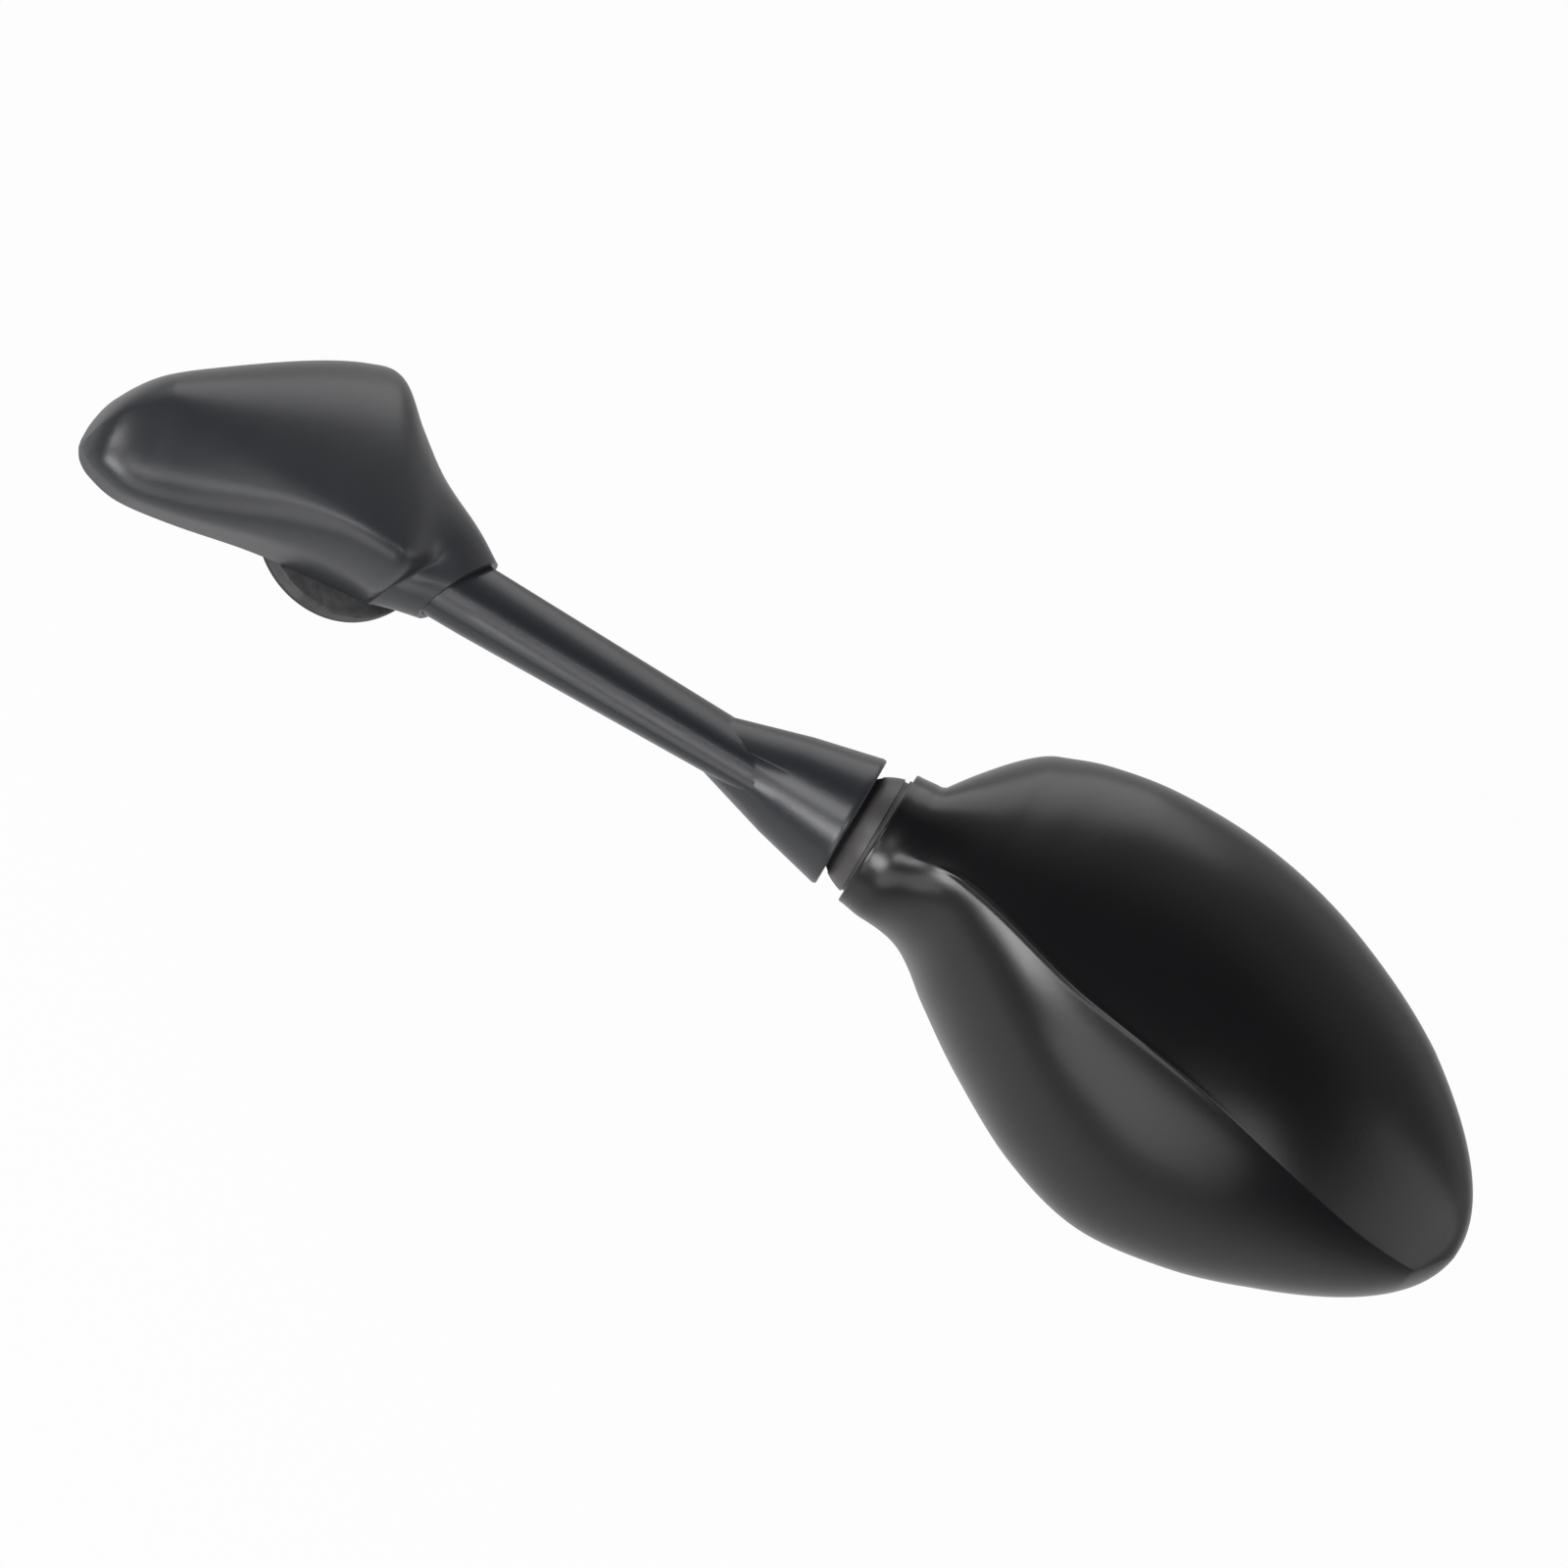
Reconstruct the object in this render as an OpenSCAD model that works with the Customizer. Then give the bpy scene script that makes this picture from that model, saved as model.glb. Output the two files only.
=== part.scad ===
// Fairing-mounted motorcycle mirror: a round cast foot, an arm that folds on it under a moulded
// boot, and an oval mirror head on a spring-loaded ball joint at the arm's flared end.
// The mounting face lies on the XY plane, the fold axis is +Z, and the arm points along +X.

/* [Mounting foot] */
// Radius of the round cast foot
foot_r = 20.5; // [19:0.5:24]
// Thickness of the foot's plate
foot_t = 4; // [4:0.5:6]
// Thickness of the rubber pad under the foot
pad_t = 1.5; // [1:0.5:3]
// Distance between the two tapped mounting holes
hole_spacing = 28; // [27:0.5:30]
// Radius of a tapped mounting hole
hole_r = 2.5; // [2:0.1:3]
// Height of the raised thrust boss on the foot
boss_h = 1.5; // [1:0.5:3]
// Radius of the thrust boss
boss_r = 10; // [9:0.5:10.5]

/* [Fold pivot] */
// Radius of the pivot bolt's shank
bolt_r = 4; // [3.5:0.25:4.5]
// Radius of the pivot bolt's round head
bolt_head_r = 7; // [6.5:0.25:7.5]
// Height of the pivot bolt's head
bolt_head_h = 3; // [2.5:0.25:3.5]
// Thickness of the thrust washer
washer_t = 1; // [0.8:0.1:1.5]
// Outer radius of the arm's knuckle
knuckle_r = 11; // [10.6:0.2:12]
// Height of the knuckle
knuckle_h = 12; // [11:0.5:14]
// Wall of the knuckle's bush
bush_wall = 1.2; // [1:0.1:1.6]
// Number of disc springs over the knuckle
disc_count = 3; // [2:1:4]
// Thickness of one disc spring
disc_t = 0.7; // [0.6:0.1:0.9]
// Width across the flats of the pivot nut
nut_flats = 13; // [12:0.5:14]
// Height of the pivot nut
nut_h = 5; // [4:0.5:6]

/* [Arm] */
// Angle at which the arm rises from the mounting face
arm_rise = 13; // [8:1:18]
// Distance along the arm from the fold axis to its flared rim
arm_len = 122.5; // [112:0.5:140]
// Height of the arm's axis where it passes the fold axis
axis_height = 14.6; // [14:0.2:16.4]
// How far the arm's axis passes to the side of the fold axis
axis_offset = 5; // [3:0.5:6]
// Radius of the stem where it leaves the boot
stem_root_r = 8; // [7.4:0.1:8.6]
// Radius of the stem where the flare begins
stem_tip_r = 6.7; // [6.2:0.1:7.4]
// Length of the trumpet-shaped flare
flare_len = 32; // [28:1:36]
// Outer radius of the flare at its rim
flare_r = 15.3; // [14.8:0.1:16]
// Wall of the flare at its rim
flare_wall = 2.2; // [1.8:0.1:2.6]
// Depth of the hollow inside the flare
flare_depth = 12; // [9:0.5:15]

/* [Boot] */
// Length of the boot from its tail to its collar
boot_len = 95; // [92:1:99]
// Reach of the boot's broad side from its spine
boot_broad = 44; // [41:1:48]
// Reach of the boot's straight side from its spine
boot_narrow = 9; // [8.8:0.2:11]
// Room between the pivot bolt's end and the inside of the boot
boot_room = 2.3; // [1.6:0.1:4]
// Wall of the boot
boot_wall = 1.9; // [1.5:0.1:2.2]
// Outer radius of the boot's collar round the stem
collar_r = 9.3; // [9.1:0.1:10.5]

/* [Ball joint] */
// Radius of the ball
ball_r = 7.5; // [7:0.1:8]
// Wall of the nylon liner round the ball
liner_wall = 1.2; // [1:0.1:1.5]
// Gap between the flare's rim and the neck's mouth
neck_gap = 6.5; // [6:0.1:8]
// Depth of the ball's centre inside the neck's mouth
ball_depth = 2.5; // [2.2:0.1:3]
// Radius of the round shield seen between the arm and the head
shield_r = 14.3; // [13.8:0.1:14.4]
// Radius of the spring wire
spring_wire_r = 0.8; // [0.6:0.1:1]
// Turns of the spring
spring_turns = 4; // [3:1:6]

/* [Mirror head] */
// Turn of the head about the arm's axis
head_roll = 25; // [15:1:35]
// Turn of the neck on the ball away from the arm's axis
head_turn = 2; // [0:0.5:4]
// Angle between the head's long axis and the neck
head_sweep = 6; // [4:1:9]
// Length of the head from the neck's mouth to its far end
head_len = 153; // [147:0.5:165]
// Reach of the head's upper edge from its long axis
head_upper = 51; // [48:0.5:55]
// Reach of the head's lower edge from its long axis
head_lower = 39.2; // [37:0.2:44]
// Height of the head's ridge above the neck's axis
head_crown = 23; // [21:0.5:27]
// Depth of the glass rim below the neck's axis
rim_depth = 20; // [19.5:0.5:22]
// Outer radius of the neck
neck_r = 16.5; // [16.2:0.1:17]
// Wall of the housing
shell_wall = 2.4; // [2:0.1:2.8]

/* [Mirror glass] */
// Thickness of the glass
glass_t = 2.4; // [2:0.2:3]
// Thickness of the foam between the glass and its carrier
foam_t = 1; // [0.8:0.1:1.4]
// Thickness of the carrier plate
carrier_t = 1.6; // [1.4:0.1:2]
// Width of the rubber gasket's wall
gasket_wall = 1.8; // [1.4:0.1:2.4]
// How far the glass sits back from the housing's rim
glass_inset = 0.8; // [0.6:0.1:1]

/* [Hidden] */
$fn = 48;

// Clearances
run_gap = 0.1;      // between flat faces that turn on each other
fit_gap = 0.06;     // round a shaft, a ball or a seat
loose_gap = 0.3;    // between pieces that only pass each other
screw_gap = 0.2;    // round a screw's shank

// Fold pivot levels above the mounting face
foot_top = pad_t + foot_t;
boss_top = foot_top + boss_h;
knuckle_z = boss_top + washer_t + run_gap;
knuckle_top = knuckle_z + knuckle_h;
spring_z = knuckle_top + run_gap;
disc_z = spring_z + washer_t;
disc_rise = disc_t * 0.6;
disc_pitch = disc_t + disc_rise / 2;
nut_z = disc_z + disc_count * disc_pitch;
bolt_top = nut_z + nut_h + 0.8;
boot_top = bolt_top + boot_room + boot_wall;
bush_r = bolt_r + fit_gap + bush_wall;
washer_r = boss_r - 0.5;
skirt_z = foot_top + 0.5;

// Joint stations along the arm's axis, from the fold axis
flare_start = arm_len - flare_len;
mouth_x = arm_len + neck_gap;
ball_x = mouth_x + ball_depth;
liner_r = ball_r + fit_gap + liner_wall;
seat_r = liner_r + fit_gap;
shield_wall = 1.6;

// Smooth step from 0 to 1, and a mix of two values
function smooth(x) = let (t = min(max(x, 0), 1)) t * t * (3 - 2 * t);
function mix(a, b, t) = a * (1 - t) + b * t;

// Value of one column of a table at a place from 0 to 1, on a smooth curve through its rows
function along(table, column, place) =
  let (
    last = len(table) - 1,
    f = min(max(place, 0), 1) * last,
    i = min(floor(f), last - 1),
    t = f - i,
    p0 = table[max(i - 1, 0)][column],
    p1 = table[i][column],
    p2 = table[i + 1][column],
    p3 = table[min(i + 2, last)][column]
  )
  p1 + 0.5 * t * (p2 - p0 + t * (2 * p0 - 5 * p1 + 4 * p2 - p3 + t * (3 * (p1 - p2) + p3 - p0)));

// Mean of a loop's points
function centre(loop) = [for (k = [0:2]) let (v = [for (p = loop) p[k]]) v * [for (x = v) 1] / len(v)];

// Closed solid through a list of loops that all have the same number of points
module loft(loops) {
  n = len(loops);
  m = len(loops[0]);
  points = concat([for (l = loops) each l], [centre(loops[0]), centre(loops[n - 1])]);
  sides = [for (i = [0:n - 2], j = [0:m - 1]) let (a = i * m + j, b = i * m + (j + 1) % m)
    each [[a, a + m, b + m], [a, b + m, b]]];
  caps = [for (j = [0:m - 1]) let (k = (j + 1) % m)
    each [[n * m, j, k], [n * m + 1, (n - 1) * m + k, (n - 1) * m + j]]];
  polyhedron(points = points, faces = concat(sides, caps), convexity = 6);
}

// Frames: the arm's axis from where it passes the fold axis, the ball's centre, the head's long axis
module at_arm() {
  translate([0, -axis_offset, axis_height])
    rotate([0, -arm_rise, 0])
      rotate([head_roll, 0, 0])
        children();
}
module at_ball() { at_arm() translate([ball_x, 0, 0]) children(); }
module at_neck() { at_ball() rotate([0, 0, -head_turn]) children(); }
module at_head() { at_neck() translate([-ball_depth, 0, 0]) rotate([0, 0, -head_sweep]) children(); }

// Turns a shape whose axis is Z so that it lies along the arm
module lay() { rotate([0, 90, 0]) children(); }

// A point of the arm's frame in the frame of the mounting face
function arm_point(p) =
  let (c = cos(arm_rise), s = sin(arm_rise), cr = cos(head_roll), sr = sin(head_roll))
  [0, -axis_offset, axis_height] + p[0] * [c, 0, s] + p[1] * [-sr * s, cr, sr * c]
    + p[2] * [-s * cr, -sr, c * cr];

// Section of the stem at a distance along the arm: round at its root, and towards the flare deeper
// on its outer side, where the lower edge grows squarer
stem_points = 28;
stem_start = 5;
stem_deep = [1, 1.4];
stem_edge = [2.3, 3];
function stem_part(x) = max(x - 30, 0) / (flare_start - 30);
function stem_r(x) = mix(stem_root_r, stem_tip_r, stem_part(x)) - 1.6 * (1 - smooth((x - 8) / 14));
function stem_loop(x, extra = 0) = [for (j = [0:stem_points - 1])
  let (
    a = 360 * j / stem_points,
    deep = sin(a) > 0 ? mix(stem_deep[0], stem_deep[1], stem_part(x)) : 1,
    n = sin(a) > 0 && cos(a) < 0 ? mix(stem_edge[0], stem_edge[1], stem_part(x)) : 2,
    r = (stem_r(x) + extra) * pow(pow(abs(cos(a)), n) + pow(abs(sin(a)) / deep, n), -1 / n)
  )
    [x, r * cos(a), r * sin(a)]];

module stem(x0, x1, steps, extra = 0) {
  loft([for (i = [0:steps]) stem_loop(mix(x0, x1, i / steps), extra)]);
}

module foot_pad() {
  color([0.07, 0.07, 0.07])
    difference() {
      cylinder(r = foot_r, h = pad_t);
      mounting_holes(hole_r + 0.6);
    }
}

module mounting_holes(r) {
  for (side = [-1, 1])
    translate([side * hole_spacing / 2, 0, -1]) cylinder(r = r, h = foot_top + 2);
}

module mounting_foot() {
  color([0.16, 0.16, 0.17])
    difference() {
      union() {
        translate([0, 0, pad_t]) rotate_extrude($fn = 72)
          polygon([[0, 0], [foot_r, 0], [foot_r, foot_t - 0.8], [foot_r - 0.8, foot_t], [0, foot_t]]);
        translate([0, 0, foot_top]) cylinder(r = boss_r, h = boss_h);
      }
      translate([0, 0, -1]) cylinder(r = bolt_r + fit_gap, h = boss_top + 2);
      translate([0, 0, -1]) cylinder(r = bolt_head_r + 0.4, h = 1 + pad_t + bolt_head_h);
      mounting_holes(hole_r);
    }
}

module pivot_bolt() {
  color([0.62, 0.63, 0.65])
    difference() {
      union() {
        translate([0, 0, pad_t]) cylinder(r = bolt_head_r, h = bolt_head_h);
        translate([0, 0, pad_t + 1]) cylinder(r = bolt_r, h = bolt_top - pad_t - 1);
      }
      translate([0, 0, pad_t - 1]) cylinder(r = bolt_r * 0.72, h = 3, $fn = 6);
    }
}

module thrust_washer() {
  color([0.72, 0.6, 0.35])
    translate([0, 0, boss_top]) ring(washer_r, bolt_r + fit_gap, washer_t);
}

module ring(outer, inner, h) {
  difference() {
    cylinder(r = outer, h = h);
    translate([0, 0, -1]) cylinder(r = inner, h = h + 2);
  }
}

module spring_washer() {
  color([0.66, 0.67, 0.69])
    translate([0, 0, spring_z]) ring(washer_r - 0.5, bolt_r + 0.2, washer_t);
}

// Conical disc springs, stacked in pairs that face each other
module disc_springs() {
  inner = bolt_r + 0.2;
  outer = washer_r - 1.2;
  color([0.5, 0.5, 0.52])
    for (i = [0:disc_count - 1])
      translate([0, 0, disc_z + i * disc_pitch]) rotate_extrude()
        if (i % 2 == 0)
          polygon([[inner, disc_rise / 2], [outer, 0], [outer, disc_t], [inner, disc_t + disc_rise / 2]]);
        else
          polygon([[inner, 0], [outer, disc_rise / 2], [outer, disc_t + disc_rise / 2], [inner, disc_t]]);
}

module pivot_nut() {
  corner_r = nut_flats / 2 / cos(30);
  color([0.6, 0.61, 0.63])
    translate([0, 0, nut_z])
      difference() {
        union() {
          cylinder(r = corner_r, h = nut_h * 0.7, $fn = 6);
          cylinder(r = nut_flats / 2 - 0.6, h = nut_h);
        }
        translate([0, 0, -1]) cylinder(r = bolt_r + fit_gap, h = nut_h + 2);
      }
}

module knuckle_bush() {
  color([0.8, 0.78, 0.7])
    translate([0, 0, knuckle_z]) ring(bush_r, bolt_r + fit_gap, knuckle_h);
}

// Knuckle, stem and trumpet-shaped flare, cast as one piece
module arm() {
  inner_r = flare_r - flare_wall;
  color([0.1, 0.1, 0.11])
    difference() {
      union() {
        translate([0, 0, knuckle_z]) rotate_extrude()
          polygon([
            [0, 0], [knuckle_r, 0], [knuckle_r, knuckle_h - 1.4],
            [knuckle_r - 1.2, knuckle_h], [0, knuckle_h]
          ]);
        at_arm() stem(stem_start, flare_start + 14, 16);
        at_arm() lay() rotate_extrude($fn = 72)
          polygon([
            [0, flare_start - 5], [flare_r * 0.36, flare_start - 5], [flare_r * 0.766, arm_len - 16],
            [flare_r, arm_len - 0.8], [flare_r - 0.3, arm_len],
            [inner_r, arm_len], [inner_r - 2.8, arm_len - flare_depth],
            [boss_out, arm_len - flare_depth], [boss_out, arm_len - 0.6], [0, arm_len - 0.6]
          ]);
      }
      translate([0, 0, knuckle_z - 10]) cylinder(r = knuckle_r + 2, h = 10);
      translate([0, 0, knuckle_top]) cylinder(r = washer_r + 0.6, h = 30);
      translate([0, 0, knuckle_z - 1]) cylinder(r = bush_r + fit_gap, h = knuckle_h + 2);
      at_arm() lay() translate([0, 0, arm_len - stud_len]) cylinder(r = stud_r + fit_gap, h = stud_len + 1);
    }
}

// Radius of the boss that takes the ball stud, in the middle of the flare
boss_out = 6.5;

// Ball stud: threaded shank in the arm's boss, hexagonal collar, slim neck and ball
stud_r = 4;
stud_len = 22;
stud_neck_r = 3.4;
collar_h = 2.6;
module ball_stud() {
  neck_x = arm_len - 0.6 - ball_x;
  color([0.66, 0.67, 0.69])
    at_ball() lay() union() {
      sphere(r = ball_r);
      translate([0, 0, neck_x + 1]) cylinder(r = stud_neck_r, h = -neck_x - 1);
      translate([0, 0, neck_x]) cylinder(r = 7.2, h = collar_h, $fn = 6);
      translate([0, 0, arm_len - stud_len - ball_x + 0.5]) cylinder(r = stud_r, h = stud_len);
    }
}

// Round shield between the arm and the neck. Its outer face is part of a sphere about the ball, and
// its sleeve turns on the arm's boss, held there by the stud's collar
module joint_shield() {
  front = -ball_depth + 0.1;
  back = arm_len - ball_x + 0.9;
  back_r = sqrt(shield_r * shield_r - back * back);
  step_x = arm_len - 0.7 - ball_x;
  end_x = arm_len - flare_depth - ball_x + 0.2;
  color([0.12, 0.12, 0.13])
    at_ball() lay() rotate_extrude($fn = 72)
      polygon(concat(
        arc_points(shield_r, back, front, 8),
        arc_points(shield_r - shield_wall, front, back + 1.6, 6),
        [
          [7.6, back + 1.6], [7.6, step_x], [boss_out + fit_gap, step_x], [boss_out + fit_gap, end_x],
          [8.2, end_x], [8.2, back - 1.2], [back_r - 1.2, back - 1.2], [back_r, back - 0.2]
        ]
      ));
}

// Points of a circle about the origin between two heights
function arc_points(r, h0, h1, steps) = [for (i = [0:steps]) let (h = mix(h0, h1, i / steps))
  [sqrt(r * r - h * h), h]];

module ball_liner() {
  color([0.86, 0.85, 0.8])
    at_neck() lay() difference() {
      sphere(r = liner_r);
      sphere(r = ball_r + fit_gap);
      translate([0, 0, -liner_r - 1]) cylinder(r = liner_r, h = liner_r + 1 - 4.2);
      translate([0, 0, 7]) cylinder(r = liner_r, h = liner_r);
    }
}

// Moulded seat that holds the ball towards the arm, with a flange behind the housing's web
seat_front = -3.2;
web_x = 2.2;
web_t = 2;
flange_t = 2;
seat_outer = 10.4;
function seat_back() = web_x + web_t + flange_t;
module seat_ring() {
  color([0.2, 0.2, 0.22])
    at_neck() lay() difference() {
      union() {
        translate([0, 0, seat_front]) cylinder(r = seat_outer, h = seat_back() - seat_front);
        translate([0, 0, seat_front - 1.1]) cylinder(r1 = 8, r2 = seat_outer, h = 1.1);
        translate([0, 0, web_x + web_t]) cylinder(r = cup_r, h = flange_t);
      }
      sphere(r = seat_r);
      cylinder(r = seat_r, h = 20);
    }
}

// Cup that the spring presses against the far side of the ball
cup_r = 12;
cup_t = 6;
module pressure_cup() {
  color([0.2, 0.2, 0.22])
    at_neck() lay() difference() {
      translate([0, 0, seat_back() + loose_gap]) cylinder(r = cup_r, h = cup_t);
      sphere(r = seat_r);
      translate([0, 0, spring_seat()]) ring(spring_r + spring_wire_r + 0.3, spring_r - spring_wire_r - 0.3, 10);
    }
}

spring_r = 7.4;
spring_h = 9;
function spring_seat() = seat_back() + loose_gap + cup_t - 1.5;
module cup_spring() {
  sides = 8;
  steps = 16;
  total = spring_turns * steps;
  rise = (spring_h - 2 * spring_wire_r) / total;
  color([0.55, 0.56, 0.58])
    at_neck() lay() translate([0, 0, spring_seat() + spring_wire_r])
      loft([for (i = [0:total]) let (turn = 360 * i / steps)
        [for (j = [0:sides - 1]) let (a = -360 * j / sides, r = spring_r + spring_wire_r * cos(a))
          [r * cos(turn), r * sin(turn), i * rise + spring_wire_r * sin(a)]]]);
}

// Bent steel plate that the spring pushes against; its tab is screwed to the housing's bulkhead
plate_t = 1.6;
plate_half = 9.5;
plate_low = -12.6;
tab_len = 9;
screw_y = 5.5;
function plate_x() = spring_seat() + spring_h;
module spring_plate() {
  color([0.6, 0.61, 0.63])
    at_neck() difference() {
      union() {
        translate([plate_x(), -plate_half, plate_low]) cube([plate_t, 2 * plate_half, plate_half - plate_low]);
        translate([plate_x(), -plate_half, plate_low]) cube([tab_len, 2 * plate_half, plate_t]);
      }
      plate_screw_places() translate([0, 0, -2]) cylinder(r = 1.5 + screw_gap, h = 5);
    }
}
module plate_screw_places() {
  for (side = [-1, 1])
    translate([plate_x() + plate_t + 4.2, side * screw_y, plate_low]) children();
}
module plate_screws() {
  color([0.66, 0.67, 0.69])
    at_neck() plate_screw_places() {
      difference() {
        translate([0, 0, -1.4]) cylinder(r = 2.6, h = 1.4);
        translate([0, 0, -2]) cylinder(r = 1.1, h = 1.2, $fn = 6);
      }
      cylinder(r = 1.5, h = 8);
    }
}

// Head outline and ridge: share of the length, reach of the upper and lower edge, height of the
// ridge between the rim and the crown, and how sharp the ridge is
head_rows = [
  [0.000, 0.52, 0.41, 0.84, 0.00],
  [0.066, 0.63, 0.40, 0.86, 0.16],
  [0.131, 0.735, 0.43, 0.90, 0.26],
  [0.197, 0.84, 0.57, 0.95, 0.30],
  [0.295, 0.94, 0.755, 0.99, 0.28],
  [0.426, 0.99, 0.94, 1.00, 0.25],
  [0.557, 0.97, 1.00, 0.96, 0.22],
  [0.689, 0.88, 0.87, 0.86, 0.20],
  [0.800, 0.755, 0.665, 0.70, 0.18],
  [0.892, 0.593, 0.42, 0.51, 0.15],
  [0.957, 0.42, 0.195, 0.33, 0.10],
  [0.988, 0.25, 0.03, 0.18, 0.05],
  [1.000, 0.13, -0.07, 0.07, 0.00]
];
ridge_side = 3;
rim_wall_h = 3;
neck_keep = 4.5;
neck_blend = 11.5;
head_points = 32;

// One loop of the head's outer skin, or of a skin set in by a wall, at a place from 0 to 1
function head_loop(place, inset = 0, floor_z = -rim_depth) =
  let (
    s = head_len * along(head_rows, 0, place),
    up = max(head_upper * along(head_rows, 1, place) - inset, head_tip_y() + 0.4),
    low = max(head_lower * along(head_rows, 2, place) - inset, 0.4 - head_tip_y()),
    rim = rim_wall_h - rim_depth,
    ridge = mix(rim, head_crown, along(head_rows, 3, place)) - inset,
    sharp = along(head_rows, 4, place),
    side = max(-ridge_side * smooth(place * 3) * smooth((1 - place) * 3), mix(-low, up, 0.15)),
    b = smooth((s - neck_keep) / neck_blend),
    half = head_points / 2,
    rest = half - 2
  )
  [for (i = [0:head_points - 1])
    let (
      a = i <= half ? 180 * i / half : 180 + 180 * (i - half) / half,
      t = (i - half - 1) / rest,
      bowl = i <= half
        ? [s, side + (cos(a) > 0 ? up - side : low + side) * cos(a),
            rim + (ridge - rim) * sin(a) * (1 - sharp * abs(cos(a)))]
        : [s, mix(-low, up, t), floor_z],
      r = neck_r - inset - 0.6 * (1 - smooth(s / 6)),
      tube = swept([s, r * cos(a), r * sin(a)])
    )
      mix(tube, bowl, b)];
function head_tip_y() = head_upper * head_rows[12][1];
// A point given along the neck's straight axis, in the frame of the head's long axis
function swept(p) = [p[0] * cos(head_sweep) - p[1] * sin(head_sweep),
  p[0] * sin(head_sweep) + p[1] * cos(head_sweep), p[2]];

// Outline of the open rim, set in by a distance: the head's edge, closed by an ellipse at the neck
oval_place = 0.24;
oval_reach = 15.5;
outline_steps = 30;
function rim_outline(inset) =
  let (
    s0 = head_len * along(head_rows, 0, oval_place),
    up0 = head_upper * along(head_rows, 1, oval_place) - inset,
    low0 = head_lower * along(head_rows, 2, oval_place) - inset,
    far = head_len - inset
  )
  concat(
    [for (i = [0:outline_steps]) let (q = mix(oval_place, 1, i / outline_steps))
      [min(head_len * along(head_rows, 0, q), far), max(head_upper * along(head_rows, 1, q) - inset, head_tip_y())]],
    [for (i = [1:outline_steps]) let (q = mix(1, oval_place, i / outline_steps))
      [min(head_len * along(head_rows, 0, q), far), -max(head_lower * along(head_rows, 2, q) - inset, -head_tip_y())]],
    [for (a = [12:12:168])
      [s0 - (oval_reach - inset) * sin(a), (up0 - low0) / 2 - (up0 + low0) / 2 * cos(a)]]
  );

// Plate between two depths behind the head's axis, with the rim's outline
module rim_plate(inset, low_z, high_z) {
  translate([0, 0, low_z]) linear_extrude(height = high_z - low_z) polygon(rim_outline(inset));
}

// Depths of the glass stack
glass_front = -rim_depth + glass_inset;
glass_back = glass_front + glass_t;
foam_back = glass_back + foam_t;
carrier_back = foam_back + carrier_t;
gasket_inset = shell_wall + 0.15;
glass_edge = gasket_inset + gasket_wall + 0.1;
carrier_inset = gasket_inset + 0.5;

// Places of the four carrier screws: share of the length, and share of the reach above or below
carrier_screw_shares = [[0.3, 0.59], [0.39, -0.61], [0.73, 0.51], [0.73, -0.46]];
carrier_screw_places = [for (p = carrier_screw_shares)
  [p[0] * head_len, p[1] * (p[1] > 0 ? head_upper : head_lower)]];
rib_shares = [0.41, 0.56, 0.7];
carrier_boss_r = 4;
carrier_screw_r = 1.5;
cavity_roof = 34;

module housing() {
  bore = shield_r + 0.35;
  color([0.09, 0.09, 0.1])
    difference() {
      union() {
        difference() {
          at_head() loft([for (i = [0:32]) head_loop(i / 32)]);
          at_head() loft([for (i = [0:22]) head_loop(mix(0.14, 0.99, i / 22), shell_wall, -rim_depth + 1)]);
        }
        housing_ribs();
        intersection() {
          at_neck() lay() translate([0, 0, 0.4]) cylinder(r = cup_r + 2.4, h = plate_x() - 0.7);
          at_head() loft([for (i = [0:12]) head_loop(i / 24)]);
        }
      }
      at_head() rim_plate(shell_wall, -rim_depth - 1, carrier_back);
      at_neck() lay() {
        sphere(r = bore, $fn = 40);
        translate([0, 0, -10]) cylinder(r = bore, h = 10);
        cylinder(r = bore, h = web_x);
        cylinder(r = seat_outer + fit_gap, h = 20);
        translate([0, 0, web_x + web_t]) cylinder(r = cup_r + fit_gap * 2, h = plate_x() - web_x - web_t);
      }
      at_neck() translate([plate_x() - 0.2, -plate_half - 0.3, -rim_depth])
        cube([plate_t + 0.4, 2 * plate_half + 0.6, rim_depth + plate_half + 0.5]);
      at_neck() plate_screw_places() cylinder(r = 1.5 + screw_gap, h = 8.6);
      at_head() for (p = carrier_screw_places)
        translate([p[0], p[1], carrier_back - 1]) cylinder(r = carrier_screw_r + screw_gap, h = 9, $fn = 20);
    }
}

// Bosses for the carrier's screws, the bulkhead behind the spring plate and stiffening ribs
module housing_ribs() {
  intersection() {
    at_head() {
      for (p = carrier_screw_places)
        hull() {
          translate([p[0], p[1], carrier_back]) cylinder(r = carrier_boss_r, h = 1, $fn = 20);
          translate([p[0], p[1], cavity_roof]) cylinder(r = carrier_boss_r + 1.4, h = 1, $fn = 20);
        }
      for (share = rib_shares)
        hull() for (side = [-1, 1])
          translate([share * head_len, side * head_lower * 0.9, 4]) cylinder(r = 0.9, h = 30, $fn = 8);
      hull() for (share = [0.2, 0.91])
        translate([share * head_len, -ridge_side, 8]) cylinder(r = 0.9, h = 30, $fn = 8);
    }
    at_head() loft([for (i = [0:20]) head_loop(mix(0.1, 1, i / 20), shell_wall / 2)]);
  }
  intersection() {
    at_neck() translate([plate_x() + plate_t + 0.2, -26, plate_low + plate_t]) cube([7, 60, 50]);
    at_head() loft([for (i = [0:12]) head_loop(mix(0.1, 0.5, i / 12), shell_wall / 2)]);
  }
}

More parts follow.
